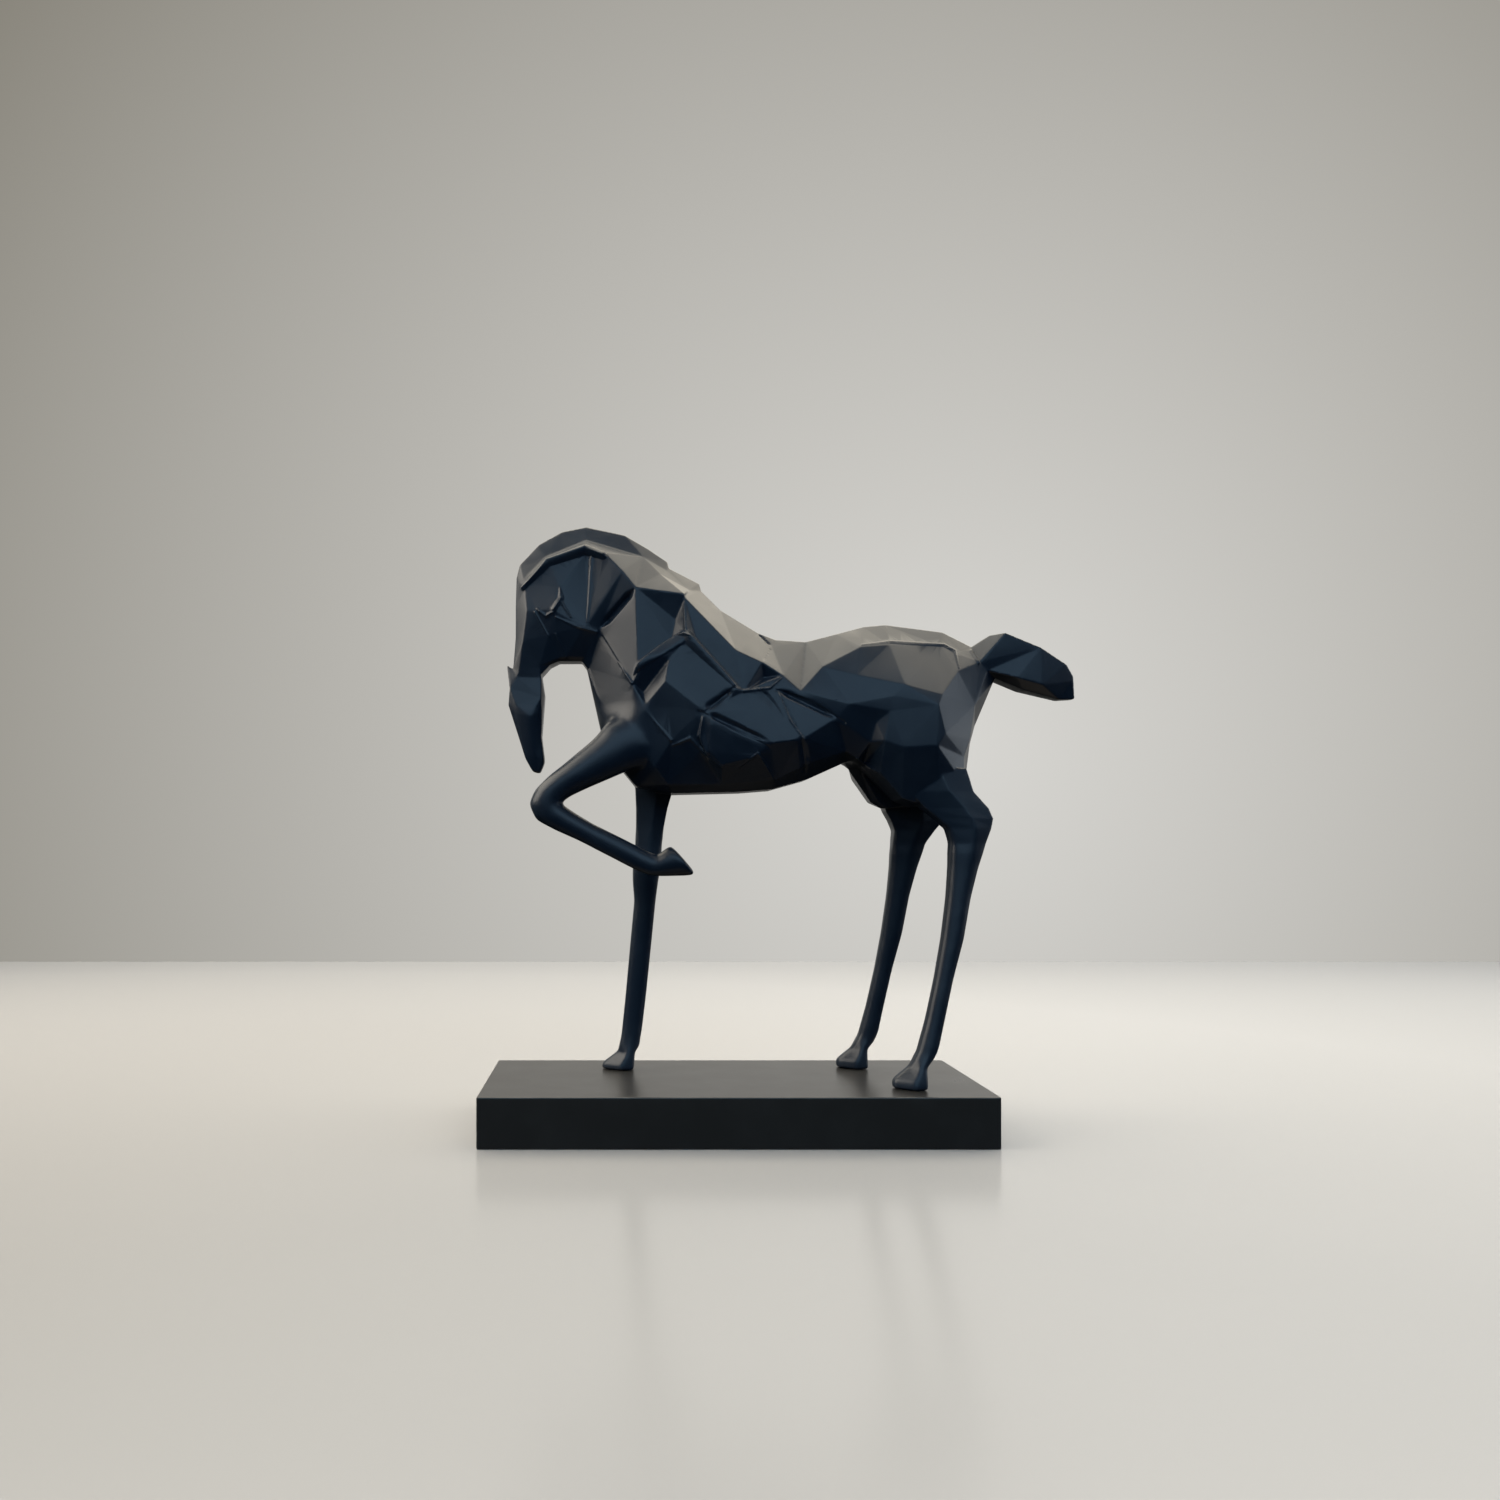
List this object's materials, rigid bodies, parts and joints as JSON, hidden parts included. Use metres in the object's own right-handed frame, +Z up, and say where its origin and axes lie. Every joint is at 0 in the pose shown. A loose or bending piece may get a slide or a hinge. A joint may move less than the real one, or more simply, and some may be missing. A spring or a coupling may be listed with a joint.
{
  "type": "geometric horse sculpture",
  "caption": "Faceted cast horse in a satin navy-black finish, one foreleg raised and head bowed, on a low rectangular plinth.",
  "frame": {"origin": "centre of the plinth's underside", "axes": "+Z up, -X the way the horse faces, -Y the horse's left side, where its raised foreleg is"},
  "size_m": [0.3645, 0.12, 0.3723],
  "materials": {
    "horse_paint": "satin navy-black paint on cast resin",
    "plinth_paint": "matte black paint on cast resin"
  },
  "bodies": {
    "root": {"horse": "horse_paint", "plinth": "plinth_paint"}
  },
  "joints": []
}
